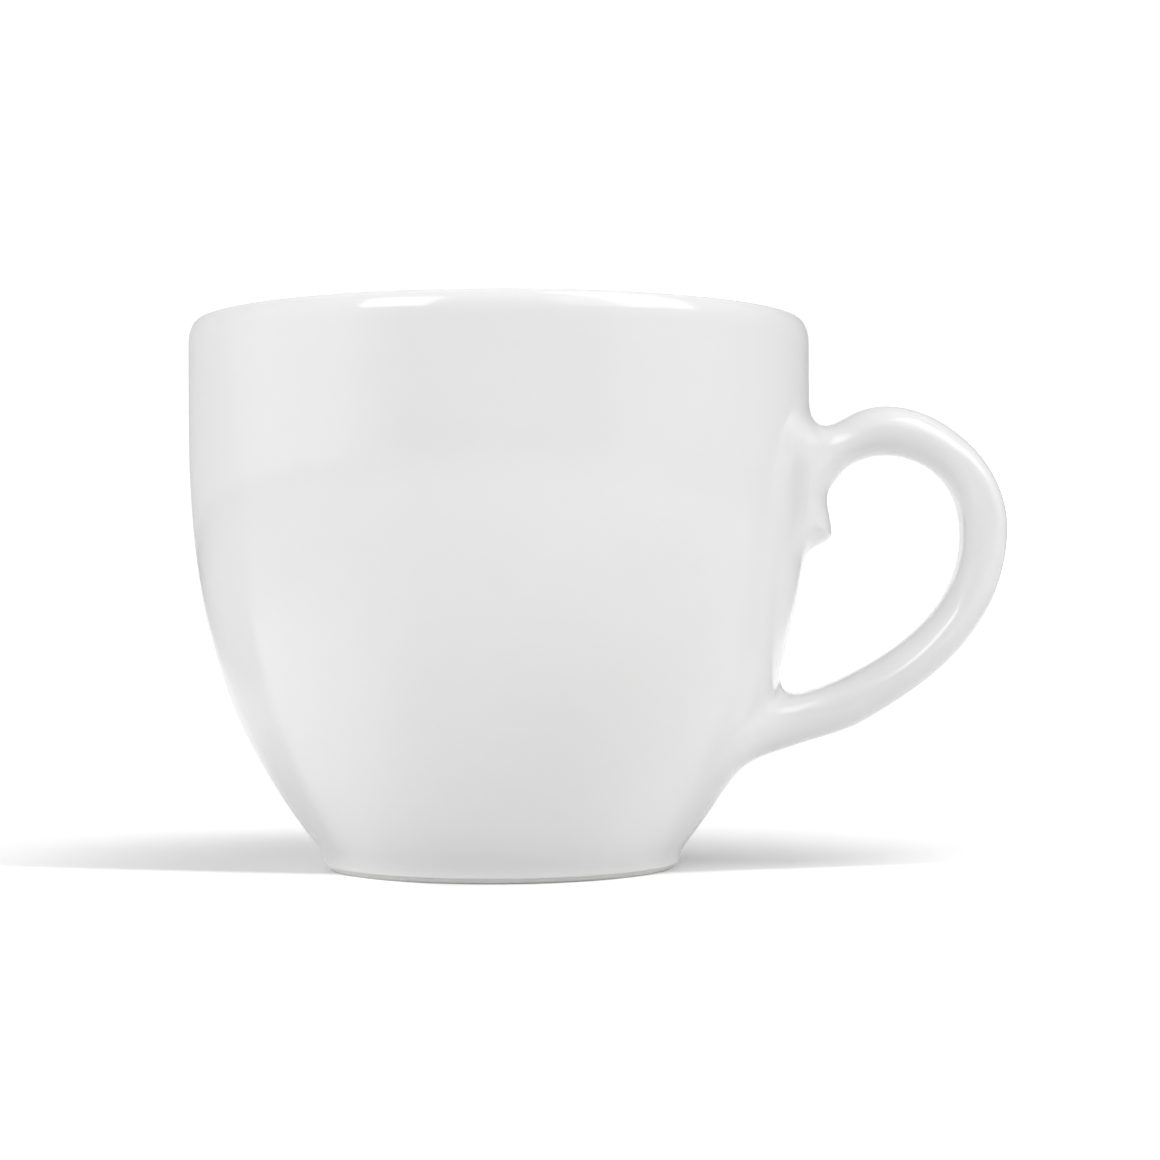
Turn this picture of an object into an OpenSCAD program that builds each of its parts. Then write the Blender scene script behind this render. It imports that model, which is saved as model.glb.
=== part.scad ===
// Porcelain espresso cup with a cast loop handle.
// The origin is the centre of the ring that the cup stands on.
// +Z is up and the handle points along +X. All sizes are in millimetres.

/* [Bowl] */
// Height from the table to the lip
cup_h = 54.3; // [45:0.1:66]
// Largest outside diameter
bowl_d = 62; // [51:0.5:75]
// Drop from the lip to where the wall stands upright
upright_drop = 9.9; // [6:0.1:16]
// Length over which the wall comes upright
upright_sweep = 19.2; // [10:0.1:24]
// Outside diameter where the bowl runs into the foot
cove_d = 38; // [34:0.5:44]
// Height where the bowl runs into the foot
cove_h = 3.1; // [2:0.1:5]
// Lean of the wall from upright just above the foot, in degrees
cove_lean = 38; // [25:1:50]
// Length over which the wall keeps that lean
cove_sweep = 13.8; // [8:0.1:18]

/* [Inside] */
// Thickness of the wall at the lip
lip_t = 3; // [2:0.1:4]
// Part of that thickness that lies outside the crest of the lip
lip_crest = 1; // [0.7:0.1:1.6]
// Height of the lip's rounding
lip_round_h = 2.3; // [1:0.1:4]
// Thickness of the floor over the well
floor_t = 4; // [2.5:0.1:6]
// Length over which the inside wall stays upright
inside_sweep = 37; // [28:0.5:40]
// Length over which the inside floor stays level
floor_sweep = 22.5; // [16:0.5:24]

/* [Foot] */
// Outside diameter of the bare ring that stands on the table
stand_d = 33.6; // [30:0.1:36]
// Width of that ring
stand_w = 2; // [1.2:0.1:3.5]
// Rounding of the ring's edges
stand_edge = 0.6; // [0.3:0.1:1]
// Depth of the well inside the ring
well_depth = 2; // [1:0.1:3]
// Width of the sweep from the ring into the well
well_sweep = 3; // [1.5:0.1:5]

/* [Handle] */
// How far the grip stands out from the widest part of the bowl
handle_reach = 19.6; // [15:0.1:25]
// Drop from the lip to the grip's outermost point
bow_drop = 20.3; // [17:0.1:25]
// Thickness of the grip, seen from the side
grip_t = 4.4; // [3:0.1:6]
// Width of the grip, seen from behind
grip_w = 7.6; // [5:0.1:11]
// Sharpness of the soft ridge along the grip, where 1 is a plain oval
grip_ridge = 1.14; // [1:0.01:1.4]
// Drop from the lip to the handle's crown
crown_drop = 8.25; // [5:0.05:12]
// Distance of the crown from the wall
crown_out = 7.4; // [5:0.1:9]
// Thickness of the strap at the crown
crown_t = 4.8; // [3:0.05:6.5]
// Distance of the loop's top from the wall
loop_top_out = 7.5; // [6:0.1:10]
// Drop from the lip to the loop's side next to the wall
loop_side_drop = 18; // [15:0.1:22]
// Distance of that side from the wall
loop_side_out = 1.8; // [1:0.1:3]

/* [Upper root] */
// Drop from the lip to the top of the upper root
upper_root_drop = 7.8; // [5:0.1:10]
// Drop from the lip to the dip between the wall and the crown
dip_drop = 10.25; // [8:0.05:13]
// Distance of the dip from the wall
dip_out = 1.85; // [1:0.05:3]
// Drop from the lip to the loop's side below the dip
dip_loop_drop = 15.5; // [13:0.1:18]
// Distance of that side from the wall
dip_loop_out = 2.55; // [1.5:0.05:4]
// Drop from the lip to the spur's tip
spur_drop = 20.55; // [18:0.05:24]
// Distance of the spur's tip from the wall
spur_out = 2.2; // [1.5:0.1:3.5]
// Drop from the lip to the middle of the spur's underside
spur_under_drop = 22.35; // [19:0.05:25]
// Distance of the spur's underside from the wall
spur_under_out = 0.4; // [0.3:0.1:1.5]
// Drop from the lip to the foot of the rib under the spur
rib_drop = 24; // [22:0.1:28]
// Narrowing of the upper root toward its rib, where 0 is none
rib_taper = 0.2; // [0:0.05:0.5]
// Narrowing of the upper root toward the spur
spur_taper = 0.5; // [0:0.05:0.7]

/* [Lower root] */
// Height of the arm's underside at the heel
heel_h = 14.55; // [12:0.05:18]
// Distance of the heel from the widest wall
heel_out = 5.5; // [3:0.1:8]
// Slope of the heel's underside, in degrees
heel_slope = 30; // [15:1:40]
// Slope of the arm's upper side above the heel, in degrees
heel_top_slope = 25; // [15:1:40]
// Thickness of the arm at the heel
heel_t = 4.9; // [3:0.1:6.5]
// Height of the arm's underside where it levels off
tail_h = 11.95; // [10:0.05:15]
// Distance from there to the wall
tail_out = 4.6; // [3:0.1:6]
// Slope of the underside there, in degrees
tail_slope = 18; // [8:1:28]
// Height of the crook between the arm and the wall
crook_h = 17.4; // [15:0.1:20]
// Distance of the crook from the wall
crook_out = 2.6; // [1.5:0.1:4]
// Height of the lower root's lowest point on the wall
lower_root_h = 8.7; // [7:0.1:11]
// Height of the lower root's highest point on the wall
lower_root_top_h = 20.3; // [18:0.1:24]

/* [Roots] */
// Width of the handle at its roots, without their fillets
root_w = 8.6; // [6:0.1:12]
// Radius of the fillets at the sides of the roots
root_fillet = 2.4; // [1:0.1:4]

/* [Coats] */
// Thickness of the glaze
glaze_t = 0.3; // [0.2:0.05:0.5]
// Thickness of the slip that bonds the handle to the bowl
slip_t = 0.4; // [0.3:0.05:0.8]

/* [Hidden] */

$fn = 96;

// Facets along each curve of the bowl's outline, round the handle, and between its stations
short_steps = 5;
long_steps = 16;
handle_sides = 24;
station_steps = [5, 4, 4, 4, 7, 11, 12, 7, 8];

// Share of the way to its corner that a curve's pull goes for a quarter of an oval
oval_pull = 0.552;
// Share of the chord that the handle's curves are pulled at each knot
knot_pull = 0.39;
// How far the handle's roots run on into the wall before they are cut off at its surface
root_bite = 2.4;
// Headings of the roots' outlines where they meet the wall
root_top_angle = -60;
rib_angle = 60;
lower_root_angle = -140;
lower_root_top_angle = -255;
// Headings of the loop's outline at the spur's underside and beside the dip
spur_under_angle = 36;
dip_loop_angle = 58;
// Angle at which the roots' fillets meet the wall
fillet_angle = 25;

bowl_r = bowl_d / 2;
cove_r = cove_d / 2;
stand_r = stand_d / 2;
stand_inner_r = stand_r - stand_w;
floor_h = well_depth + floor_t;
lip_base_h = cup_h - lip_round_h;
crest_r = bowl_r - lip_crest;
inner_r = bowl_r - lip_t;
upright_h = cup_h - upright_drop;

bisque_white = [0.93, 0.91, 0.87];
slip_white = [0.9, 0.88, 0.84];
glaze_white = [0.95, 0.95, 0.95];

// Curves: each is a list of four control points

function heading(angle) = [cos(angle), sin(angle)];

function curve_point(c, t) =
    pow(1 - t, 3) * c[0] + 3 * pow(1 - t, 2) * t * c[1]
    + 3 * (1 - t) * t * t * c[2] + t * t * t * c[3];

function curve_run(c, t) =
    pow(1 - t, 2) * (c[1] - c[0]) + 2 * (1 - t) * t * (c[2] - c[1]) + t * t * (c[3] - c[2]);

// The side of a curve that faces the air, when the clay lies on its left
function air_side(c, t) =
    let (run = curve_run(c, t) / norm(curve_run(c, t)))
    [run[1], -run[0]];

function straight(from, to) = [from, from + (to - from) / 3, to - (to - from) / 3, to];

function oval(from, corner, to) =
    [from, from + oval_pull * (corner - from), to + oval_pull * (corner - to), to];

// Points along one curve, moved off it towards the air by the given amount
function walk(c, steps, off) =
    [for (i = [0 : steps]) curve_point(c, i / steps) + off * air_side(c, i / steps)];

function joined(lists) =
    concat([for (list = lists) each [for (i = [0 : len(list) - 2]) list[i]]],
           [lists[len(lists) - 1][len(lists[len(lists) - 1]) - 1]]);

function backward(list) = [for (i = [len(list) - 1 : -1 : 0]) list[i]];

// Outline of the glazed bowl, from the bare foot over the lip to the middle of the floor

foot_side = [stand_r + stand_edge + glaze_t, stand_edge];
cove_top = [cove_r, cove_h];
cove_step = norm(cove_top - foot_side) / 3;
lean = heading(90 - cove_lean);
upright = [bowl_r, upright_h];
crest = [crest_r, cup_h];
lip_inside = [inner_r, lip_base_h];
floor_middle = [0, floor_h];

cove_curve = [foot_side, foot_side + [0, cove_step], cove_top - cove_step * lean, cove_top];
wall_curve = [cove_top, cove_top + cove_sweep * lean, upright - [0, upright_sweep], upright];
rim_curve = straight(upright, [bowl_r, lip_base_h]);
lip_outer_curve = oval([bowl_r, lip_base_h], [bowl_r, cup_h], crest);
lip_inner_curve = oval(crest, [inner_r, cup_h], lip_inside);
inside_curve = [lip_inside, lip_inside - [0, inside_sweep], floor_middle + [floor_sweep, 0], floor_middle];

function outside_line(off) = joined([
    walk(cove_curve, short_steps, off),
    walk(wall_curve, long_steps, off),
    walk(rim_curve, 1, off),
    walk(lip_outer_curve, short_steps, off)]);

function inside_line(off) = joined([
    walk(lip_inner_curve, short_steps, off),
    walk(inside_curve, long_steps, off)]);

function bowl_line(off) = joined([outside_line(off), inside_line(off)]);

// Outline of the glazed well, from the middle out to the bare ring

well_edge = [stand_inner_r - stand_edge - glaze_t, stand_edge];
well_flat = [well_edge[0] - well_sweep, well_depth];
well_corner = [well_edge[0], well_depth];

function well_line(off) = joined([
    walk(straight([0, well_depth], well_flat), 1, off),
    walk(oval(well_flat, well_corner, well_edge), short_steps, off)]);

// Bare ring, from the well's glaze to the bowl's glaze
function stand_line() = joined([
    walk(oval([stand_inner_r - stand_edge, stand_edge], [stand_inner_r - stand_edge, 0],
              [stand_inner_r, 0]), short_steps, 0),
    walk(straight([stand_inner_r, 0], [stand_r, 0]), 1, 0),
    walk(oval([stand_r, 0], [stand_r + stand_edge, 0], [stand_r + stand_edge, stand_edge]),
         short_steps, 0)]);

// Outside radius of the glazed wall at a height
wall_table = [for (p = outside_line(0)) [p[1], p[0]]];
function wall_r(h) = lookup(h, wall_table);

// Handle: each station has a knot on its outer and on its inner outline, seen from the side,
// with the heading there, and then the width across the station and how much the inner end narrows

heel_turn = -180 + heel_slope;
heel_outer = [bowl_r + heel_out, heel_h];

// Point on the wall at a height, and a point off the widest wall at a drop from the lip
function on_wall(h) = [wall_r(h), h];
function off_wall(out, drop) = [bowl_r + out, cup_h - drop];

// The top of the upper root comes out of the wall while the loop's outline goes round the spur
upper_root = on_wall(cup_h - upper_root_drop);
function root_top(buried) = upper_root - buried * root_bite * heading(root_top_angle);

stations = [
    [root_top(1), root_top_angle,
     on_wall(cup_h - rib_drop) - root_bite * heading(rib_angle), rib_angle, root_w, rib_taper],
    [root_top(2 / 3), root_top_angle,
     off_wall(spur_under_out, spur_under_drop), spur_under_angle, root_w, rib_taper],
    [root_top(1 / 3), root_top_angle, off_wall(spur_out, spur_drop), 90, root_w, spur_taper],
    [root_top(0), root_top_angle,
     off_wall(loop_side_out, loop_side_drop), 90, (root_w + grip_w) / 2, rib_taper],
    [off_wall(dip_out, dip_drop), 0,
     off_wall(dip_loop_out, dip_loop_drop), dip_loop_angle, grip_w, 0],
    [off_wall(crown_out, crown_drop), 0, off_wall(loop_top_out, crown_drop + crown_t), 0, grip_w, 0],
    [off_wall(handle_reach, bow_drop), -90, off_wall(handle_reach - grip_t, bow_drop), -90, grip_w, 0],
    [heel_outer, heel_turn,
     heel_outer + heel_t * heading(heel_turn - 90), -180 + heel_top_slope, grip_w, 0],
    [on_wall(tail_h) + [tail_out, 0], -180 + tail_slope,
     on_wall(crook_h) + [crook_out, 0], -180, (grip_w + root_w) / 2, 0],
    [on_wall(lower_root_h) + root_bite * heading(lower_root_angle), lower_root_angle,
     on_wall(lower_root_top_h) + root_bite * heading(lower_root_top_angle), lower_root_top_angle,
     root_w, 0]];

last_station = len(stations) - 1;
dip_station = 4;

// Columns of a station's row
outer_knot = 0;
inner_knot = 2;
station_width = 4;
station_taper = 5;

function knot_curve(i, knot) =
    let (from = stations[i][knot], to = stations[i + 1][knot], pull = knot_pull * norm(to - from))
    [from, from + pull * heading(stations[i][knot + 1]), to - pull * heading(stations[i + 1][knot + 1]), to];

// Outline of the handle at a station number, which may lie between two stations
function outline(u, knot) =
    let (i = min(last_station - 1, floor(u)))
    curve_point(knot_curve(i, knot), u - i);

function eased(t) = t * t * (3 - 2 * t);

function station_value(u, column) =
    let (i = min(last_station - 1, floor(u)), t = eased(u - i))
    (1 - t) * stations[i][column] + t * stations[i + 1][column];

// How much a root's fillet widens the handle on each side at a distance from the wall
function fillet(away) =
    let (run = max(0, cos(fillet_angle) - max(0, away) / root_fillet))
    root_fillet * (1 - sqrt(1 - run * run));

// Distance of a point from the wall beside the handle's root
function away(p) = p[0] - sqrt(pow(wall_r(p[1]), 2) - pow(root_w / 2, 2));

// One closed section of the handle, drawn in by the given amount
function section(u, inset) =
    let (outer = outline(u, outer_knot), inner = outline(u, inner_knot), middle = (outer + inner) / 2,
         half = norm(outer - inner) / 2, along = (outer - inner) / (2 * half),
         half_w = station_value(u, station_width) / 2 + fillet(away(middle)),
         taper = station_value(u, station_taper))
    [for (j = [0 : handle_sides - 1])
        let (angle = 360 * j / handle_sides,
             run = (half - inset) * sign(cos(angle)) * pow(abs(cos(angle)), grip_ridge),
             side = (half_w - inset) * sin(angle) * (1 + taper * cos(angle)))
        [middle[0] + run * along[0], side, middle[1] + run * along[1]]];

function quad(a, b, c, d) = [[a, b, c], [a, c, d]];

function loft_sides(rings, start, flip) = [
    for (k = [0 : rings - 2], j = [0 : handle_sides - 1])
        let (next = (j + 1) % handle_sides, low = start + k * handle_sides, high = low + handle_sides)
        each flip ? quad(low + j, high + j, high + next, low + next)
            : quad(low + j, low + next, high + next, high + j)];

// Station numbers of the sections between two stations
function station_list(from, to) = concat(
    [for (s = [from : to - 1]) each [for (i = [0 : station_steps[s] - 1]) s + i / station_steps[s]]],
    [to]);

// Solid loft through the sections at the listed stations
module loft(list, inset) {
    rings = len(list);
    top = (rings - 1) * handle_sides;
    polyhedron(
        points = [for (u = list) each section(u, inset)],
        faces = concat(
            loft_sides(rings, 0, false),
            [[for (j = [handle_sides - 1 : -1 : 0]) j]],
            [[for (j = [0 : handle_sides - 1]) top + j]]),
        convexity = 6);
}

// Tube between two lofts through the same stations
module loft_tube(list, inset) {
    rings = len(list);
    count = rings * handle_sides;
    top = count - handle_sides;
    polyhedron(
        points = concat([for (u = list) each section(u, 0)], [for (u = list) each section(u, inset)]),
        faces = concat(
            loft_sides(rings, 0, false),
            loft_sides(rings, count, true),
            [for (j = [0 : handle_sides - 1]) let (next = (j + 1) % handle_sides)
                each quad(next, j, count + j, count + next)],
            [for (j = [0 : handle_sides - 1]) let (next = (j + 1) % handle_sides)
                each quad(top + j, top + next, top + count + next, top + count + j)]),
        convexity = 8);
}

whole_handle = station_list(0, last_station);
upper_stub = station_list(0, dip_station);
lower_stub = station_list(last_station - 1, last_station);

// Everything inside the outside line of the bowl, moved outwards by the given amount
module bowl_core(off) {
    side = outside_line(off);
    rotate_extrude()
        polygon(concat([[0, side[0][1]]], side, [[0, side[len(side) - 1][1]]]));
}

// Layer of slip all over the bisque wall, of which the joints are the parts under the roots
module slip_skin() {
    rotate_extrude()
        polygon(concat(outside_line(slip_t - glaze_t), backward(outside_line(-glaze_t))));
}

module cup_body() {
    color(bisque_white)
        rotate_extrude()
            polygon(concat(well_line(-glaze_t), stand_line(), bowl_line(-glaze_t)));
}

module handle() {
    color(bisque_white)
        difference() {
            loft(whole_handle, glaze_t);
            bowl_core(slip_t - glaze_t);
        }
}

module upper_joint() {
    color(slip_white)
        intersection() {
            loft(upper_stub, glaze_t);
            slip_skin();
        }
}

module lower_joint() {
    color(slip_white)
        intersection() {
            loft(lower_stub, glaze_t);
            slip_skin();
        }
}

module bowl_glaze() {
    color(glaze_white)
        difference() {
            rotate_extrude()
                polygon(concat(bowl_line(0), backward(bowl_line(-glaze_t))));
            loft(upper_stub, glaze_t);
            loft(lower_stub, glaze_t);
        }
}

module handle_glaze() {
    color(glaze_white)
        difference() {
            loft_tube(whole_handle, glaze_t);
            bowl_core(0);
        }
}

module well_glaze() {
    color(glaze_white)
        rotate_extrude()
            polygon(concat(well_line(0), backward(well_line(-glaze_t))));
}

cup_body();
handle();
upper_joint();
lower_joint();
bowl_glaze();
handle_glaze();
well_glaze();
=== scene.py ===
import math

import bpy
import numpy as np
from mathutils import Matrix, Vector


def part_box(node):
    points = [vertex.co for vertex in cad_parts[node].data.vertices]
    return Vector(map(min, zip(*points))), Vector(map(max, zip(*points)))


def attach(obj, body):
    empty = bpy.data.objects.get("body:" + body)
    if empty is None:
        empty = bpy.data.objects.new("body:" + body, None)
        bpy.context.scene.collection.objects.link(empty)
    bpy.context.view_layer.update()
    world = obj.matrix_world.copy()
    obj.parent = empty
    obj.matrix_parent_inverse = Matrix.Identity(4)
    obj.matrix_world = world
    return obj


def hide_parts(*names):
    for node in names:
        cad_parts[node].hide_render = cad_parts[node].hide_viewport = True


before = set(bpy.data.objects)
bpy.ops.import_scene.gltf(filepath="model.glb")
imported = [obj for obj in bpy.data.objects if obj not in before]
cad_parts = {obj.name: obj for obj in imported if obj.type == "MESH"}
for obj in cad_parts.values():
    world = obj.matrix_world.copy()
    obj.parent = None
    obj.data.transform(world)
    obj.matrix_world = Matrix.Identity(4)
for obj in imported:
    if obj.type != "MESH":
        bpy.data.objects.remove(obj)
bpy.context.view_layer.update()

# Sizes are in millimetres, and meshes are written in metres
MM = 0.001

# Sizes that the frame gives
CUP_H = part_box("bowl_glaze")[1].z / MM
BOWL_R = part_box("bowl_glaze")[1].y / MM
HANDLE_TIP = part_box("handle_glaze")[1].x / MM
FOOT_GLAZE_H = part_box("bowl_glaze")[0].z / MM
WELL_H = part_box("well_glaze")[1].z / MM

# Bowl outline
GLAZE_T = 0.3
SLIP_T = 0.4
UPRIGHT_DROP = 9.9
UPRIGHT_SWEEP = 19.2
COVE_R = 19.0
COVE_H = 3.1
COVE_LEAN = 38
COVE_SWEEP = 13.8
LIP_T = 3.0
LIP_CREST = 1.0
LIP_ROUND_H = 2.3
FLOOR_H = 6.0
INSIDE_SWEEP = 37.0
FLOOR_SWEEP = 22.5
STAND_R = 16.8
STAND_W = 2.0
STAND_EDGE = FOOT_GLAZE_H
WELL_SWEEP = 3.0
WELL_DEPTH = WELL_H - GLAZE_T
OVAL_PULL = 0.552

# Steps along the runs of the bowl's outline, and round it
COVE_STEPS = 20
WALL_STEPS = 70
UPRIGHT_STEPS = 8
LIP_STEPS = 16
LIP_INSIDE_STEPS = 14
WELL_FLAT_STEPS = 10
WELL_SIDE_STEPS = 14
STAND_STEPS = 6
STAND_EDGE_STEPS = 10
BACK_SKIP = 3
TURN_STEPS = 288
ON_AXIS = 1e-6

# Handle
GRIP_T = 4.4
HEEL_T = 4.8
HEEL_ACROSS = 120
FILLET = 3.2
CROOK = (28.6, 18.4)
CROOK_REACH = 2.2
CROOK_FILLET = 2.2
FLARE_R = 10.0
FLARE_REACH = 7.0
FLARE_LIMIT = 0.7
FLARE_MOST = 9.0
GRID = 0.25
SUNK = 0.004
HANDLE_START = 12.0
HANDLE_SIDE = 18.3
ROOT_DEPTH = 0.9
SKIN_MARGIN = 0.3
SEAM_H = 0.05
END_MARGIN = 2 * GRID
CORE_GRID = 2 * GRID

# Boxes that hold the handle and each pad of slip, from the low corner to the high one
HANDLE_BOX = (HANDLE_START, -HANDLE_SIDE, 1.0), (HANDLE_TIP + 1, HANDLE_SIDE, 52.0)
UPPER_BOX = (25.0, -HANDLE_SIDE, 26.0), (33.0, HANDLE_SIDE, 52.0)
LOWER_BOX = (HANDLE_START, -HANDLE_SIDE, 1.0), (31.0, HANDLE_SIDE, 25.0)

# How the handle's surface is worked out
OUTER_STEPS = 48
INNER_STEPS = 40
LEAST_BEND = 0.01
PLAN = 0.1
PLAN_X = (10.0, 53.0)
PLAN_Z = (0.0, 53.0)
PLAN_PASSES = 2
PLAN_FAR_CELLS = 3.001
SECTION_REACH = 2.2
LEAST_WEIGHT = 1e-12
LEAST_LENGTH = 1e-18
LEAST_PLACE = 1e-4
SIDE_SOFTNESS = 0.01
LEAST_SLOPE = 0.1
FIT_PASSES = 3
FIT_LEAST_SLOPE = 0.05
PROBE = 0.02


def ease(a, b, v):
    """A smooth step from 0 at a to 1 at b."""
    t = np.clip((v - a) / (b - a), 0, 1)
    return t * t * (3 - 2 * t)


def heading(angle):
    return np.array([math.cos(math.radians(angle)), math.sin(math.radians(angle))])


def curve(control, steps):
    """Points along a cubic curve with four control points."""
    p = np.array(control, float)
    t = np.linspace(0, 1, steps + 1)[:, None]
    return (1 - t) ** 3 * p[0] + 3 * (1 - t) ** 2 * t * p[1] + 3 * (1 - t) * t * t * p[2] + t ** 3 * p[3]


def straight(a, b, steps=1):
    a, b = np.array(a, float), np.array(b, float)
    return curve([a, a + (b - a) / 3, b - (b - a) / 3, b], steps)


def oval(a, corner, b, steps):
    a, corner, b = (np.array(p, float) for p in (a, corner, b))
    return curve([a, a + OVAL_PULL * (corner - a), b + OVAL_PULL * (corner - b), b], steps)


def joined(*runs):
    """One line through several runs that meet end to end."""
    return np.vstack([runs[0]] + [r[1:] for r in runs[1:]])


def air_normals(line):
    """Unit normals of a line, on its right side."""
    run = np.gradient(line, axis=0)
    run /= np.linalg.norm(run, axis=1)[:, None]
    return np.column_stack([run[:, 1], -run[:, 0]])


# Outline of the glazed bowl

foot_side = np.array([STAND_R + STAND_EDGE + GLAZE_T, STAND_EDGE])
cove_top = np.array([COVE_R, COVE_H])
cove_step = np.linalg.norm(cove_top - foot_side) / 3
lean = heading(90 - COVE_LEAN)
upright = np.array([BOWL_R, CUP_H - UPRIGHT_DROP])
lip_base = CUP_H - LIP_ROUND_H
crest = np.array([BOWL_R - LIP_CREST, CUP_H])
lip_inside = np.array([BOWL_R - LIP_T, lip_base])
floor_middle = np.array([0, FLOOR_H])

outside = joined(
    curve([foot_side, foot_side + [0, cove_step], cove_top - cove_step * lean, cove_top], COVE_STEPS),
    curve([cove_top, cove_top + COVE_SWEEP * lean, upright - [0, UPRIGHT_SWEEP], upright], WALL_STEPS),
    straight(upright, [BOWL_R, lip_base], UPRIGHT_STEPS),
    oval([BOWL_R, lip_base], [BOWL_R, CUP_H], crest, LIP_STEPS),
)
inside = joined(
    oval(crest, [BOWL_R - LIP_T, CUP_H], lip_inside, LIP_INSIDE_STEPS),
    curve(
        [lip_inside, lip_inside - [0, INSIDE_SWEEP], floor_middle + [FLOOR_SWEEP, 0], floor_middle],
        WALL_STEPS,
    ),
)
bowl_line = joined(outside, inside)


def add_mesh(name, points, faces, normals=None):
    """A mesh object in the row frame, from points in millimetres."""
    mesh = bpy.data.meshes.new(name)
    mesh.from_pydata((np.asarray(points) * MM).tolist(), [], faces)
    mesh.update()
    mesh.shade_smooth()
    if normals is not None:
        mesh.normals_split_custom_set_from_vertices(np.asarray(normals).tolist())
    obj = bpy.data.objects.new(name, mesh)
    bpy.context.scene.collection.objects.link(obj)
    return obj


def revolve(name, line, crease=()):
    """A closed outline turned about the axis.

    Points on the axis become poles, and crease lists the outline points that are sharp.
    """
    angles = np.arange(TURN_STEPS) * 2 * math.pi / TURN_STEPS
    points, rings = [], []
    for r, h in line:
        if r < ON_AXIS:
            rings.append([len(points)])
            points.append([0, 0, h])
        else:
            rings.append(list(range(len(points), len(points) + TURN_STEPS)))
            points += [[r * math.cos(a), r * math.sin(a), h] for a in angles]
    faces = []
    for low, high in zip(rings, rings[1:] + rings[:1]):
        if len(low) == 1 and len(high) == 1:
            continue
        for i in range(TURN_STEPS):
            j = (i + 1) % TURN_STEPS
            if len(low) == 1:
                faces.append([low[0], high[j], high[i]])
            elif len(high) == 1:
                faces.append([low[i], low[j], high[0]])
            else:
                faces.append([low[i], low[j], high[j], high[i]])
    obj = add_mesh(name, points, faces)
    sharp = set()
    for k in crease:
        ring = rings[k]
        sharp |= {frozenset((ring[i], ring[(i + 1) % len(ring)])) for i in range(len(ring))}
    for e in obj.data.edges:
        if frozenset(e.vertices) in sharp:
            e.use_edge_sharp = True
    return obj


# Wall field

def wall_radius(h):
    return np.interp(h, outside[:, 1], outside[:, 0])


wall_slope = np.gradient(outside[:, 0], outside[:, 1])


def wall_distance(x, y, z):
    """Distance outside the glazed wall."""
    slope = np.interp(z, outside[:, 1], wall_slope)
    return (np.hypot(x, y) - wall_radius(z)) / np.sqrt(1 + slope * slope)


# Handle outline, seen from the side: each knot is x, z and the heading there

heel = np.array([36.5, 14.55])
tail = np.array([wall_radius(12.4) + 4.6, 12.1])
crook = np.array([wall_radius(17.4) + 1.2, 16.85])
outer_knots = [
    (16.0, 44.0, 0),
    (32.3, 44.0, 0),
    (34.8, 44.92, 28),
    (38.6, 45.95, 0),
    (47.08, 41.99, -46),
    (HANDLE_TIP, 33.7, -90),
    (46.55, 22.36, -129),
    (*heel, -150),
    (*tail, -162),
    (6.0, 6.0, -166),
]
inner_knots = [
    (16.0, 30.4, 4),
    (28.0, 31.4, 6),
    (32.5, 32.4, 24),
    (33.15, 33.15, 90),
    (32.67, 36.6, 92),
    (33.74, 38.7, 55),
    (38.6, 41.0, 0),
    (44.67, 38.15, -51),
    (HANDLE_TIP - GRIP_T, 33.0, -90),
    (*(heel + HEEL_T * heading(HEEL_ACROSS)), -155),
    (*crook, -168),
    (6.0, 14.7, -178),
]


def knot_line(knots, steps):
    """A line through knots, where each run is near an arc of a circle."""
    runs = []
    for (x0, z0, a0), (x1, z1, a1) in zip(knots, knots[1:]):
        p, q = np.array([x0, z0]), np.array([x1, z1])
        bend = max(abs(math.radians(a1 - a0)), LEAST_BEND)
        pull = 2 / 3 * math.tan(bend / 4) / math.sin(bend / 2) * np.linalg.norm(q - p)
        runs.append(curve([p, p + pull * heading(a0), q - pull * heading(a1), q], steps))
    return joined(*runs)


outer_line = knot_line(outer_knots, OUTER_STEPS)
inner_line = knot_line(inner_knots, INNER_STEPS)
handle_outline = np.vstack([outer_line, inner_line[::-1]])

# Half thickness, half width and fullness of the handle's section at places along it
spine = [
    (26.0, 41.0, 2.9, 4.2, 2.5),
    (29.5, 41.0, 2.8, 4.1, 2.5),
    (31.5, 41.2, 2.7, 4.0, 2.3),
    (33.4, 41.6, 2.6, 3.9, 2.0),
    (35.8, 43.0, 2.45, 3.8, 1.8),
    (38.5, 43.7, 2.4, 3.8, 1.75),
    (43.5, 42.0, 2.3, 3.8, 1.9),
    (47.0, 38.5, 2.2, 3.8, 2.7),
    (48.4, 34.0, 2.2, 3.8, 3.2),
    (47.6, 29.0, 2.25, 3.8, 2.8),
    (45.0, 24.0, 2.3, 3.8, 2.0),
    (41.0, 20.0, 2.4, 3.8, 1.6),
    (36.3, 17.2, 2.45, 3.8, 1.7),
    (32.3, 15.2, 2.5, 4.1, 2.1),
    (29.0, 14.2, 2.6, 4.1, 2.6),
    (28.8, 16.7, 2.6, 4.6, 3.0),
    (26.0, 13.4, 2.8, 4.2, 2.8),
    (22.0, 12.5, 2.9, 4.2, 2.8),
    (29.5, 38.0, 2.6, 3.7, 2.4),
    (31.0, 37.6, 2.5, 3.3, 2.3),
    (30.2, 35.6, 2.4, 3.4, 2.2),
    (31.6, 35.2, 2.2, 3.6, 2.0),
    (32.4, 33.6, 2.0, 4.4, 2.0),
    (30.0, 33.2, 2.2, 4.0, 2.0),
]


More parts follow.
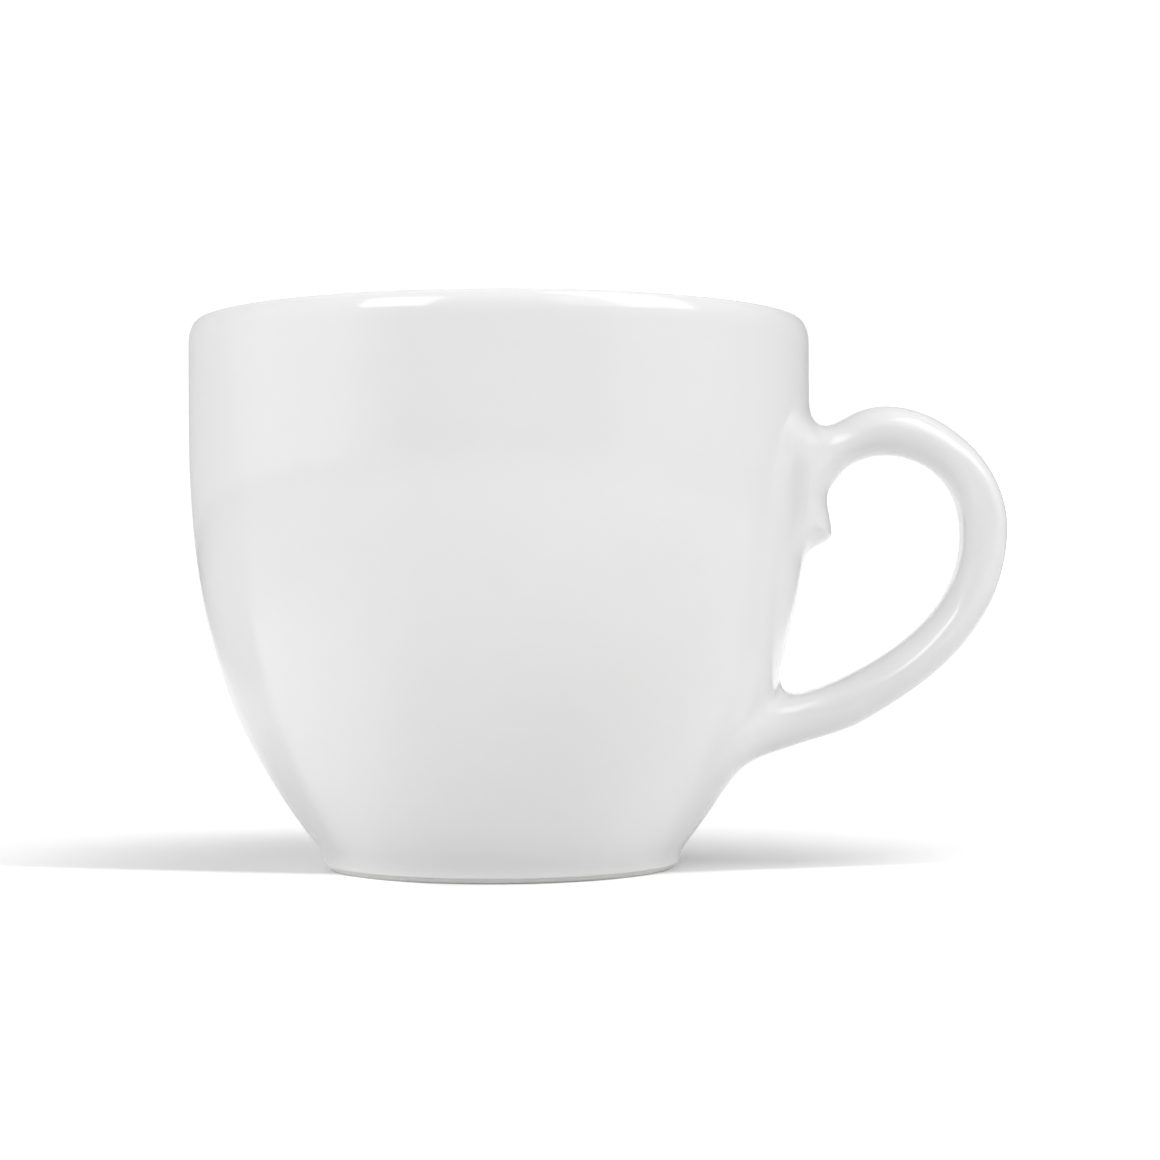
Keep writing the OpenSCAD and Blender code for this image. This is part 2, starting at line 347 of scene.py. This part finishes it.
def outline_distance(x, z):
    """Distance from the side outline of the handle, below zero inside it."""
    a = handle_outline
    b = np.roll(handle_outline, -1, axis=0)
    best = np.full(x.shape, np.inf)
    crossed = np.zeros(x.shape, bool)
    for (ax, az), (bx, bz) in zip(a, b):
        dx, dz = bx - ax, bz - az
        length = dx * dx + dz * dz
        if length < LEAST_LENGTH:
            continue
        t = np.clip(((x - ax) * dx + (z - az) * dz) / length, 0, 1)
        best = np.minimum(best, (x - ax - t * dx) ** 2 + (z - az - t * dz) ** 2)
        if az != bz:
            crossed ^= ((az > z) != (bz > z)) & (x < ax + (z - az) * dx / dz)
    return np.sqrt(best) * np.where(crossed, -1, 1)


def smooth(values, passes):
    """Soften a grid with a small kernel, along both of its axes."""
    for _ in range(passes):
        for axis in (0, 1):
            pad = [(1, 1) if i == axis else (0, 0) for i in range(2)]
            v = np.pad(values, pad, mode="edge")
            n = values.shape[axis]
            values = (np.take(v, range(0, n), axis) + 2 * np.take(v, range(1, n + 1), axis)
                      + np.take(v, range(2, n + 2), axis)) / 4
    return values


# Flat grids of the handle's outline distance, its section, and the slopes of distance and half width

plan_x = np.arange(*PLAN_X, PLAN)
plan_z = np.arange(*PLAN_Z, PLAN)
px, pz = np.meshgrid(plan_x, plan_z, indexing="ij")
plan_distance = smooth(outline_distance(px, pz), PLAN_PASSES)
weights = np.zeros(px.shape)
section = np.zeros((3, *px.shape))
for sx, sz, *values in spine:
    away = (px - sx) ** 2 + (pz - sz) ** 2
    w = np.exp(-away / (2 * SECTION_REACH * SECTION_REACH)) + LEAST_WEIGHT
    weights += w
    section += np.array(values)[:, None, None] * w
plan_half_t, plan_half_w, plan_fullness = section / weights
into_flare = np.maximum(FLARE_REACH + wall_radius(pz) - px, 0) / FLARE_R
on_arc = np.minimum(into_flare, FLARE_LIMIT)
arc_rise = np.sqrt(1 - on_arc ** 2)
flare = FLARE_R * (1 - arc_rise + (into_flare - on_arc) * on_arc / arc_rise)
plan_half_w = plan_half_w + FLARE_MOST * np.tanh(flare / FLARE_MOST)
plan_grids = (plan_distance, plan_half_t, plan_half_w, plan_fullness,
              *np.gradient(plan_distance, PLAN), *np.gradient(plan_half_w, PLAN))


def cubic_weights(t):
    return (
        ((-0.5 * t + 1.0) * t - 0.5) * t,
        (1.5 * t - 2.5) * t * t + 1.0,
        ((-1.5 * t + 2.0) * t + 0.5) * t,
        (0.5 * t - 0.5) * t * t,
    )


def look_up(grids, x, z):
    """Smoothly interpolated values of flat grids at places."""
    u = np.clip((x - plan_x[0]) / PLAN, 1, len(plan_x) - PLAN_FAR_CELLS)
    v = np.clip((z - plan_z[0]) / PLAN, 1, len(plan_z) - PLAN_FAR_CELLS)
    i, j = u.astype(int), v.astype(int)
    wu, wv = cubic_weights(u - i), cubic_weights(v - j)
    out = [np.zeros(x.shape) for _ in grids]
    for a in range(4):
        for b in range(4):
            w = wu[a] * wv[b]
            for o, g in zip(out, grids):
                o += w * g[i + a - 1, j + b - 1]
    return out


def strap_distance(d, half_t, half_w, fullness, d_x, d_z, w_x, w_z, y):
    """Distance outside the swelling strap, from the outline distance and the place across it."""
    s = np.maximum(half_t + d, LEAST_PLACE) / half_t
    w = np.maximum(np.abs(y), LEAST_PLACE) / half_w
    side = 1 + fullness / 2 + np.sqrt((fullness / 2 - 1) ** 2 + SIDE_SOFTNESS)
    g = np.sqrt(s ** fullness + w ** side)
    along = fullness * s ** (fullness - 1) / (2 * half_t * g)
    across = side * w ** (side - 1) / (2 * half_w * g)
    slope_x = along * d_x - across * w * w_x
    slope_z = along * d_z - across * w * w_z
    slope = np.sqrt(slope_x ** 2 + slope_z ** 2 + across ** 2)
    return (g - 1) / np.maximum(slope, LEAST_SLOPE)


def soft_min(a, b, k):
    h = np.maximum(k - np.abs(a - b), 0) / k
    return np.minimum(a, b) - h * h * h * k / 6


def handle_field(x, y, z, plan=None):
    """The handle blended into the wall: the strap's distance, the wall's distance and the blend."""
    strap = strap_distance(*(plan or look_up(plan_grids, x, z)), y)
    wall = wall_distance(x, y, z) + SUNK
    away = (x - CROOK[0]) ** 2 + (z - CROOK[1]) ** 2 + y * y
    near_crook = np.exp(-away / (2 * CROOK_REACH ** 2))
    return strap, wall, soft_min(strap, wall, FILLET + CROOK_FILLET * near_crook)


def closed_field(x, y, z, plan=None):
    """The blend, cut off inside the wall and a little beyond the fillet."""
    strap, wall, blend = handle_field(x, y, z, plan)
    ends = np.maximum(np.abs(y) - HANDLE_SIDE + END_MARGIN, HANDLE_START + END_MARGIN - x)
    rim = np.maximum(strap - FILLET - SKIN_MARGIN, ends)
    return np.maximum(np.maximum(blend, -wall - ROOT_DEPTH), rim)


def core_field(x, y, z, plan=None):
    """The clay core under the glaze, up to the slip."""
    strap, wall, blend = handle_field(x, y, z, plan)
    return np.maximum(blend + GLAZE_T, SLIP_T - GLAZE_T - wall)


def slip_field(x, y, z, plan=None):
    """The slip between the core and the bowl's clay."""
    strap, wall, blend = handle_field(x, y, z, plan)
    layer = np.maximum(wall + GLAZE_T - SLIP_T, -wall - GLAZE_T)
    return np.maximum(np.maximum(blend + GLAZE_T, layer), strap - GLAZE_T)


CORNERS = np.array([[i, j, k] for i in (0, 1) for j in (0, 1) for k in (0, 1)])
EDGES = [(a, b) for a in range(8) for b in range(a + 1, 8)
         if np.abs(CORNERS[a] - CORNERS[b]).sum() == 1]
RING = ((1, 1), (0, 1), (0, 0), (1, 0))


def surface_net(values):
    """Points in grid steps and quads on the zero level of a grid of values."""
    inside = values < 0
    shape = np.array(values.shape) - 1
    count = sum(inside[tuple(slice(s, n + s) for s, n in zip(c, shape))].astype(np.int8)
                for c in CORNERS)
    mixed = (count > 0) & (count < 8)
    cells = np.argwhere(mixed)
    number = np.full(mixed.shape, -1)
    number[mixed] = np.arange(len(cells))
    corner = np.stack([values[tuple((cells + c).T)] for c in CORNERS], axis=1)
    total = np.zeros((len(cells), 3))
    hits = np.zeros(len(cells))
    for a, b in EDGES:
        cut = (corner[:, a] < 0) != (corner[:, b] < 0)
        t = corner[cut, a] / (corner[cut, a] - corner[cut, b])
        total[cut] += CORNERS[a] + t[:, None] * (CORNERS[b] - CORNERS[a])
        hits[cut] += 1
    points = cells + total / hits[:, None]
    quads = []
    for axis in range(3):
        u, v = (axis + 1) % 3, (axis + 2) % 3
        step = np.eye(3, dtype=int)
        low = inside[tuple(slice(0, -1) if i == axis else slice(None) for i in range(3))]
        high = inside[tuple(slice(1, None) if i == axis else slice(None) for i in range(3))]
        edge = np.argwhere(low != high)
        edge = edge[(edge[:, u] > 0) & (edge[:, v] > 0)]
        edge = edge[(edge[:, u] < shape[u]) & (edge[:, v] < shape[v])]
        ring = [number[tuple((edge - a * step[u] - b * step[v]).T)] for a, b in RING]
        quad = np.stack(ring, axis=1)
        outward = inside[tuple(edge.T)]
        quad[~outward] = quad[~outward][:, ::-1]
        quads.append(quad)
    return points, np.vstack(quads)


def gradient(field, p):
    g = np.zeros(p.shape)
    for i in range(3):
        d = np.zeros(3)
        d[i] = PROBE
        g[:, i] = (field(*(p + d).T) - field(*(p - d).T)) / (2 * PROBE)
    return g


def largest_part(points, quads):
    """The largest part of a mesh that is joined along edges, without loose bits."""
    ends = np.sort(np.stack([quads, np.roll(quads, -1, axis=1)], axis=2), axis=2)
    keys = ends[..., 0] * len(points) + ends[..., 1]
    edge, uses = np.unique(keys, return_inverse=True, return_counts=True)[1:]
    edge = edge.reshape(quads.shape)
    joins = uses[edge] == 2
    label = np.arange(len(quads))
    while True:
        edge_label = np.full(len(uses), len(quads))
        for side in range(4):
            np.minimum.at(edge_label, edge[:, side], label)
        lower = np.where(joins, edge_label[edge], label[:, None]).min(axis=1)
        lower = lower[lower]
        if (lower == label).all():
            break
        label = lower
    quads = quads[label == np.bincount(label).argmax()]
    used, numbers = np.unique(quads, return_inverse=True)
    return points[used], numbers.reshape(quads.shape)


def net_of(field, low, high, step):
    """Points and quads on the zero level of a field within a box."""
    gx, gy, gz = (np.arange(a, b + step, step) for a, b in zip(low, high))
    x2, z2 = np.meshgrid(gx, gz, indexing="ij")
    plan = [g[:, None, :] for g in look_up(plan_grids, x2, z2)]
    x, y, z = np.meshgrid(gx, gy, gz, indexing="ij")
    points, quads = largest_part(*surface_net(field(x, y, z, plan)))
    points = points * step + [gx[0], gy[0], gz[0]]
    for _ in range(FIT_PASSES):
        value = field(*points.T)
        slope = gradient(field, points)
        size = np.maximum((slope * slope).sum(1), FIT_LEAST_SLOPE)
        move = np.clip(value / size, -step / 2, step / 2)
        points = points - move[:, None] * slope
    return points, quads.tolist()


def build_handle():
    """The handle's glaze, with normals that turn into the wall's at the seam."""
    points, quads = net_of(closed_field, *HANDLE_BOX, GRID)
    normals = gradient(lambda a, b, c: handle_field(a, b, c)[2], points)
    wall_normals = gradient(wall_distance, points)
    height = wall_distance(*points.T)
    share = ease(0, SEAM_H, height)[:, None]
    normals /= np.linalg.norm(normals, axis=1)[:, None]
    wall_normals /= np.linalg.norm(wall_normals, axis=1)[:, None]
    normals = wall_normals + share * (normals - wall_normals)
    normals /= np.linalg.norm(normals, axis=1)[:, None]
    return add_mesh("handle_glaze_skin", points, quads, normals)


# Pieces

bowl_back = bowl_line - GLAZE_T * air_normals(bowl_line)
bowl_back[-1] = [0, FLOOR_H - GLAZE_T]
back_line = bowl_back[::-1][::BACK_SKIP]
if (len(bowl_back) - 1) % BACK_SKIP:
    back_line = np.vstack([back_line, bowl_back[:1]])
bowl_ring = np.vstack([bowl_line, back_line])
bowl_piece = revolve("bowl_glaze_skin", bowl_ring, crease=(0, len(bowl_ring) - 1))

well_edge = np.array([STAND_R - STAND_W - STAND_EDGE - GLAZE_T, STAND_EDGE])
well_flat = np.array([well_edge[0] - WELL_SWEEP, WELL_DEPTH])
well_line = joined(
    straight([0, WELL_DEPTH], well_flat, WELL_FLAT_STEPS),
    oval(well_flat, [well_edge[0], WELL_DEPTH], well_edge, WELL_SIDE_STEPS),
)
well_back = well_line - GLAZE_T * air_normals(well_line)
well_back[0] = [0, WELL_DEPTH + GLAZE_T]
well_ring = np.vstack([well_line, well_back[::-1]])
well_piece = revolve("well_glaze_skin", well_ring, crease=(len(well_line) - 1, len(well_line)))

inner_foot = STAND_R - STAND_W - STAND_EDGE
outer_foot = STAND_R + STAND_EDGE
stand_line = joined(
    oval([inner_foot, STAND_EDGE], [inner_foot, 0], [STAND_R - STAND_W, 0], STAND_EDGE_STEPS),
    straight([STAND_R - STAND_W, 0], [STAND_R, 0], STAND_STEPS),
    oval([STAND_R, 0], [outer_foot, 0], [outer_foot, STAND_EDGE], STAND_EDGE_STEPS),
)
body_line = np.vstack([well_back[:-1], stand_line, bowl_back[1:]])
body_piece = revolve("cup_body_clay", body_line)

handle_piece = build_handle()
core_piece = add_mesh("handle_clay", *net_of(core_field, *HANDLE_BOX, CORE_GRID))
upper_slip = add_mesh("upper_joint_slip", *net_of(slip_field, *UPPER_BOX, GRID))
lower_slip = add_mesh("lower_joint_slip", *net_of(slip_field, *LOWER_BOX, GRID))

for piece, node, slot in (
    (bowl_piece, "bowl_glaze", "glaze"),
    (well_piece, "well_glaze", "glaze"),
    (body_piece, "cup_body", "bisque"),
    (handle_piece, "handle_glaze", "glaze"),
    (core_piece, "handle", "bisque"),
    (upper_slip, "upper_joint", "slip"),
    (lower_slip, "lower_joint", "slip"),
):
    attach(piece, "root")
    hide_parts(node)


# Materials: cells and depths are in millimetres
NOISE_LOW, NOISE_HIGH = 0.3, 0.7
GLAZE_IOR = 1.5
GLAZE_DARK, GLAZE_PALE = (0.852, 0.852, 0.85), (0.868, 0.868, 0.868)
GLAZE_ROUGHNESS = (0.06, 0.1)
CLOUD_CELL = 14.0
GLOSS_CELL = 5.0
PEEL_CELL, PEEL_DEPTH = 1.8, 0.003
PINHOLE_CELL, PINHOLE_DEPTH = 6.0, 0.015
PINHOLE_EDGE = (0.004, 0.02)
CLAY_IOR = 1.45
CLAY_ROUGHNESS = (0.75, 0.92)
STAIN_CELL = 5.0
COARSE_GRIT = 4
# Real stains run between the two bisque colours, but both are set a little paler than the clay itself:
# painted light that lifts the foot ring in its contact shade
BISQUE_DARK, BISQUE_PALE = (0.88, 0.87, 0.845), (0.93, 0.925, 0.91)
BISQUE_GRIT, BISQUE_GRIT_DEPTH = 0.3, 0.02
SLIP_DARK, SLIP_PALE = (0.78, 0.77, 0.74), (0.86, 0.85, 0.82)
SLIP_GRIT, SLIP_GRIT_DEPTH = 0.2, 0.01


def new_material(name):
    """A material with its shader and the place on the object, in metres."""
    material = bpy.data.materials.new(name)
    material.use_nodes = True
    nodes = material.node_tree.nodes
    return material, nodes["Principled BSDF"], nodes.new("ShaderNodeTexCoord").outputs["Object"]


def add_node(material, kind, **inputs):
    """A node with some of its inputs set or linked, by their names."""
    node = material.node_tree.nodes.new(kind)
    for name, value in inputs.items():
        socket = node.inputs[name.replace("_", " ")]
        if isinstance(value, bpy.types.NodeSocket):
            material.node_tree.links.new(value, socket)
        else:
            socket.default_value = value
    return node


def noise(material, place, cell, detail=2.0):
    """Cloudy noise with cells of a size in millimetres."""
    node = add_node(
        material, "ShaderNodeTexNoise", Vector=place, Scale=1 / (cell * MM), Detail=detail,
    )
    return node.outputs["Fac"]


def carry(material, value, start, end, low, high):
    """A value carried over from one range to another."""
    node = add_node(
        material, "ShaderNodeMapRange",
        Value=value, From_Min=start, From_Max=end, To_Min=low, To_Max=high,
    )
    return node.outputs["Result"]


def spread(material, value, low, high):
    """Noise carried over to a range of values."""
    return carry(material, value, NOISE_LOW, NOISE_HIGH, low, high)


def blend_colours(material, value, dark, pale):
    """Noise carried over to colours between two."""
    node = add_node(material, "ShaderNodeValToRGB", Fac=value)
    ends = (NOISE_LOW, dark), (NOISE_HIGH, pale)
    for element, (place, colour) in zip(node.color_ramp.elements, ends):
        element.position = place
        element.color = (*colour, 1)
    return node.outputs["Color"]


def bump(material, height, depth, normal=None):
    """Relief of a depth in millimetres."""
    node = add_node(material, "ShaderNodeBump", Height=height, Distance=depth * MM, Strength=1.0)
    if normal is not None:
        material.node_tree.links.new(normal, node.inputs["Normal"])
    return node.outputs["Normal"]


def feed(material, shader, **inputs):
    """Link values to the shader's inputs, by their names."""
    for name, value in inputs.items():
        material.node_tree.links.new(value, shader.inputs[name.replace("_", " ")])


def glaze_material():
    """Gloss glaze: faint clouds, uneven gloss, an orange-peel surface and rare pinholes."""
    material, shader, place = new_material("white_glaze")
    shader.inputs["IOR"].default_value = GLAZE_IOR
    clouds = noise(material, place, CLOUD_CELL, detail=3.0)
    gloss = noise(material, place, GLOSS_CELL)
    peel = noise(material, place, PEEL_CELL, detail=1.0)
    pores = add_node(material, "ShaderNodeTexVoronoi", Vector=place, Scale=1 / (PINHOLE_CELL * MM))
    pinhole = carry(material, pores.outputs["Distance"], *PINHOLE_EDGE, 0.0, 1.0)
    skin = bump(material, peel, PEEL_DEPTH)
    feed(
        material, shader,
        Base_Color=blend_colours(material, clouds, GLAZE_DARK, GLAZE_PALE),
        Roughness=spread(material, gloss, *GLAZE_ROUGHNESS),
        Normal=bump(material, pinhole, PINHOLE_DEPTH, skin),
    )
    return material


def clay_material(name, dark, pale, grit_cell, grit_depth):
    """Fired clay without glaze: pale stains, fine grit and a dry surface."""
    material, shader, place = new_material(name)
    shader.inputs["IOR"].default_value = CLAY_IOR
    stain = noise(material, place, STAIN_CELL, detail=4.0)
    grit = noise(material, place, grit_cell, detail=3.0)
    coarse = noise(material, place, COARSE_GRIT * grit_cell)
    lumps = bump(material, coarse, grit_depth)
    feed(
        material, shader,
        Base_Color=blend_colours(material, stain, dark, pale),
        Roughness=spread(material, grit, *CLAY_ROUGHNESS),
        Normal=bump(material, grit, grit_depth, lumps),
    )
    return material


glaze = glaze_material()
bisque = clay_material("bisque", BISQUE_DARK, BISQUE_PALE, BISQUE_GRIT, BISQUE_GRIT_DEPTH)
slip = clay_material("slip", SLIP_DARK, SLIP_PALE, SLIP_GRIT, SLIP_GRIT_DEPTH)
for obj, material in (
    (bowl_piece, glaze),
    (well_piece, glaze),
    (handle_piece, glaze),
    (body_piece, bisque),
    (core_piece, bisque),
    (upper_slip, slip),
    (lower_slip, slip),
):
    obj.data.materials.clear()
    obj.data.materials.append(material)


# Stage

def paper_material(name, albedo):
    """Matte paper that glows a little to the camera and to mirror rays, by its glow attribute, which
    also holds a painted pool of light and a painted shade on the floor.
    """
    material = bpy.data.materials.new(name)
    material.use_nodes = True
    nodes, links = material.node_tree.nodes, material.node_tree.links
    nodes.clear()
    out = nodes.new("ShaderNodeOutputMaterial")
    diffuse = nodes.new("ShaderNodeBsdfDiffuse")
    diffuse.inputs["Color"].default_value = (albedo, albedo, albedo, 1)
    path = nodes.new("ShaderNodeLightPath")
    glow = nodes.new("ShaderNodeAttribute")
    glow.attribute_name = "glow"
    level = glow.outputs["Fac"]
    seen = path.outputs["Is Camera Ray"]
    for ray in ("Is Glossy Ray", "Is Transmission Ray"):
        either = nodes.new("ShaderNodeMath")
        either.operation = "MAXIMUM"
        links.new(seen, either.inputs[0])
        links.new(path.outputs[ray], either.inputs[1])
        seen = either.outputs[0]
    product = nodes.new("ShaderNodeMath")
    product.operation = "MULTIPLY"
    links.new(seen, product.inputs[0])
    links.new(level, product.inputs[1])
    emission = nodes.new("ShaderNodeEmission")
    links.new(product.outputs[0], emission.inputs["Strength"])
    total = nodes.new("ShaderNodeAddShader")
    links.new(diffuse.outputs[0], total.inputs[0])
    links.new(emission.outputs[0], total.inputs[1])
    links.new(total.outputs[0], out.inputs["Surface"])
    return material


def stage_sheet(name, points, faces, glow, material):
    """A sheet of the stage, in metres, with a level of glow at each point."""
    mesh = bpy.data.meshes.new(name)
    mesh.from_pydata(points, [], faces)
    mesh.attributes.new("glow", "FLOAT", "POINT").data.foreach_set("value", glow)
    obj = bpy.data.objects.new(name, mesh)
    bpy.context.scene.collection.objects.link(obj)
    obj.data.materials.append(material)
    return obj


# Where the photo's camera stands, and how wide it sees for its distance
CAMERA_PLACE = (0.00792, -0.2598, 0.0259)
VIEW_SLOPE = 0.235
VIEW_FADE = 1.4
VIEW_NEAR = 0.03

# The floor is two sheets of paper that meet in a shallow V at the foot; near the foot the front sheet
# glows brighter than the back one, so the V is a painted front edge of the cup's shadow
PAPER_ALBEDO = 0.8
FLOOR_SIZE = 6.0
FLOOR_STRETCH = 5.5
FLOOR_COLUMNS = 121
FLOOR_ROWS = 61
BACKDROP_Y = 0.8
BACKDROP_H = 0.34
BACKDROP_GLOW = 0.55
SEAM_Y = -0.0105
SEAM_SLOPE = 0.27
SEAM_ROUND = 1e-5
SEAM_FADE = 0.007
FRONT_GLOW = 0.3
# Beside the cup the front paper glows brighter, more on the left than on the right: a painted pool of
# light, which the cup's lower wall mirrors
LEFT_PAINTED_LIGHT = 1.0
RIGHT_PAINTED_LIGHT = 0.7
BACK_GLOW = 0.37
FAR_GLOW = 0.24
FAR_EDGE = (0.1, 0.6)
PAINTED_LIGHT_TURN = (0.3, 0.9)
PAINTED_LIGHT_EDGE = (0.05, 0.2)
# Near the foot the back paper glows less: painted shade round the foot, over the lamps' real shadow
# there
PAINTED_SHADE_GLOW = 0.08
PAINTED_SHADE_EDGE = (0.026, 0.062)
paper = paper_material("paper", PAPER_ALBEDO)


def seam_y(x):
    """Where the two sheets of the floor meet; near the foot this line is a painted front edge of the
    cup's shadow.
    """
    return SEAM_Y + SEAM_SLOPE * np.sqrt(x * x + SEAM_ROUND)


def floor_sheet(name, side, glow_at):
    """The floor before (side -1) or behind (side 1) the seam."""
    columns = np.linspace(-FLOOR_STRETCH, FLOOR_STRETCH, FLOOR_COLUMNS)
    rows = np.linspace(0, FLOOR_STRETCH, FLOOR_ROWS)
    across, away = (np.sinh(s) / math.sinh(FLOOR_STRETCH) * FLOOR_SIZE for s in (columns, rows))
    x, d = np.meshgrid(across, away, indexing="ij")
    y = seam_y(x) + side * d
    n = len(away)
    faces = [[i * n + j, (i + 1) * n + j, (i + 1) * n + j + 1, i * n + j + 1][::side]
             for i in range(len(across) - 1) for j in range(n - 1)]
    points = np.column_stack([x.ravel(), y.ravel(), 0 * x.ravel()])
    return stage_sheet(name, points.tolist(), faces, glow_at(x.ravel(), y.ravel()), paper)


def back_glow(x, y):
    """White behind the cup, as wide as the photo's camera sees, apart from a painted shade near the
    foot, where the glow dims over the lamps' real shadow.
    """
    view = np.abs(x - CAMERA_PLACE[0]) / np.maximum(y - CAMERA_PLACE[1], VIEW_NEAR)
    away = np.hypot(x, y)
    level = (PAINTED_SHADE_GLOW + (BACK_GLOW - PAINTED_SHADE_GLOW) * ease(*PAINTED_SHADE_EDGE, away)
             + FAR_GLOW * ease(*FAR_EDGE, away))
    return level * (1 - ease(VIEW_SLOPE, VIEW_FADE * VIEW_SLOPE, view))


def front_glow(x, y):
    """A painted pool of light on the front paper: brightest beside the cup, and less straight before it
    and far away.
    """
    turn = np.arctan2(np.abs(x), -y)
    side = np.where(x < 0, LEFT_PAINTED_LIGHT, RIGHT_PAINTED_LIGHT) - FRONT_GLOW
    beside = side * ease(*PAINTED_LIGHT_TURN, turn) * (1 - ease(*PAINTED_LIGHT_EDGE, np.hypot(x, y)))
    from_seam = seam_y(x) - y
    before = ease(0, SEAM_FADE, from_seam)
    return before * (FRONT_GLOW + beside) + (1 - before) * back_glow(x, y)


floor_sheet("front_floor", -1, front_glow)
floor_sheet("back_floor", 1, back_glow)
half = VIEW_SLOPE * (BACKDROP_Y - CAMERA_PLACE[1])
stage_sheet(
    "backdrop",
    [(x, BACKDROP_Y, z) for x, z in ((-half, 0), (half, 0), (half, BACKDROP_H), (-half, BACKDROP_H))],
    [[0, 1, 2, 3]],
    [BACKDROP_GLOW] * 4,
    paper,
)

# The room has a level of grey for each side
ROOM = {
    "front": 0.02,
    "left": 1.45,
    "right": 0.78,
    "back_left": 0.6,
    "back_right": 0.36,
    "top": 0.53,
}
ROOM_MIDDLE = (-0.3, 0.3)
FRONT_EDGE = (math.radians(28), math.radians(60))
BACK_EDGE = (math.radians(85), math.radians(125))
TOP_EDGE = (0.3, 0.85)
world = bpy.data.worlds.new("room")
world.use_nodes = True
room_nodes, room_links = world.node_tree.nodes, world.node_tree.links
background = room_nodes["Background"]
background.inputs["Color"].default_value = (1, 1, 1, 1)


def room_math(operation, *inputs):
    """A sum on values of the room's nodes."""
    node = room_nodes.new("ShaderNodeMath")
    node.operation = operation
    for socket, value in zip(node.inputs, inputs):
        if isinstance(value, (int, float)):
            socket.default_value = value
        else:
            room_links.new(value, socket)
    return node.outputs[0]


def room_step(value, low, high, start, end):
    """A smooth step from one level at low to another at high."""
    node = room_nodes.new("ShaderNodeMapRange")
    node.interpolation_type = "SMOOTHSTEP"
    room_links.new(value, node.inputs["Value"])
    for name, number in (("From Min", low), ("From Max", high)):
        node.inputs[name].default_value = number
    for name, level in (("To Min", start), ("To Max", end)):
        if isinstance(level, (int, float)):
            node.inputs[name].default_value = level
        else:
            room_links.new(level, node.inputs[name])
    return node.outputs[0]


direction = room_nodes.new("ShaderNodeTexCoord")
parts = room_nodes.new("ShaderNodeSeparateXYZ")
room_links.new(direction.outputs["Generated"], parts.inputs[0])
turn = room_math("ARCTAN2", parts.outputs["X"], room_math("MULTIPLY", parts.outputs["Y"], -1))
side_level = room_step(parts.outputs["X"], *ROOM_MIDDLE, ROOM["left"], ROOM["right"])
back_level = room_step(parts.outputs["X"], *ROOM_MIDDLE, ROOM["back_left"], ROOM["back_right"])
width = room_math("ABSOLUTE", turn)
around = room_step(width, *FRONT_EDGE, ROOM["front"], side_level)
around = room_step(width, *BACK_EDGE, around, back_level)
level = room_step(parts.outputs["Z"], *TOP_EDGE, around, ROOM["top"])
room_links.new(level, background.inputs["Strength"])
bpy.context.scene.world = world

# Lamps: a name, a place and a size in metres, and a power in watts
LAMP_AIM = Vector((0.0, 0, 0.03))
LAMPS = (
    ("left_card", (-0.35, -0.45, 0.45), (0.3, 0.3), 1.3),
    ("right_card", (0.35, -0.45, 0.45), (0.3, 0.3), 0.35),
    ("right_bar", (0.45, -0.22, 0.6), (0.4, 0.7), 2.5),
    ("left_spot", (-0.014, -0.26, 0.0545), (0.004, 0.0035), 0.0002),
    ("right_spot", (0.030, -0.26, 0.0545), (0.004, 0.0035), 0.0002),
)


def area_light(name, place, size, power):
    """A lamp that faces the cup and isn't seen by the camera."""
    data = bpy.data.lights.new(name, "AREA")
    data.shape = "RECTANGLE"
    data.size, data.size_y = size
    data.energy = power
    obj = bpy.data.objects.new(name, data)
    obj.location = place
    obj.rotation_euler = (LAMP_AIM - Vector(place)).to_track_quat("-Z", "Y").to_euler()
    obj.visible_camera = False
    bpy.context.scene.collection.objects.link(obj)


for lamp in LAMPS:
    area_light(*lamp)

# Camera

IMAGE_PX = 1160
FOCAL_PX = 2588
SENSOR = 36
CLIP_START, CLIP_END = 0.01, 100
CAMERA_TILT = 90.608
CAMERA_ROLL = -0.28
camera_data = bpy.data.cameras.new("camera")
camera_data.sensor_width = SENSOR
camera_data.lens = SENSOR * FOCAL_PX / IMAGE_PX
camera_data.clip_start = CLIP_START
camera_data.clip_end = CLIP_END
camera = bpy.data.objects.new("camera", camera_data)
bpy.context.scene.collection.objects.link(camera)
tilt = Matrix.Rotation(math.radians(CAMERA_TILT), 4, "X")
roll = Matrix.Rotation(math.radians(CAMERA_ROLL), 4, "Z")
camera.matrix_world = Matrix.Translation(CAMERA_PLACE) @ (tilt @ roll)
bpy.context.scene.camera = camera
bpy.context.scene.view_settings.view_transform = "Standard"
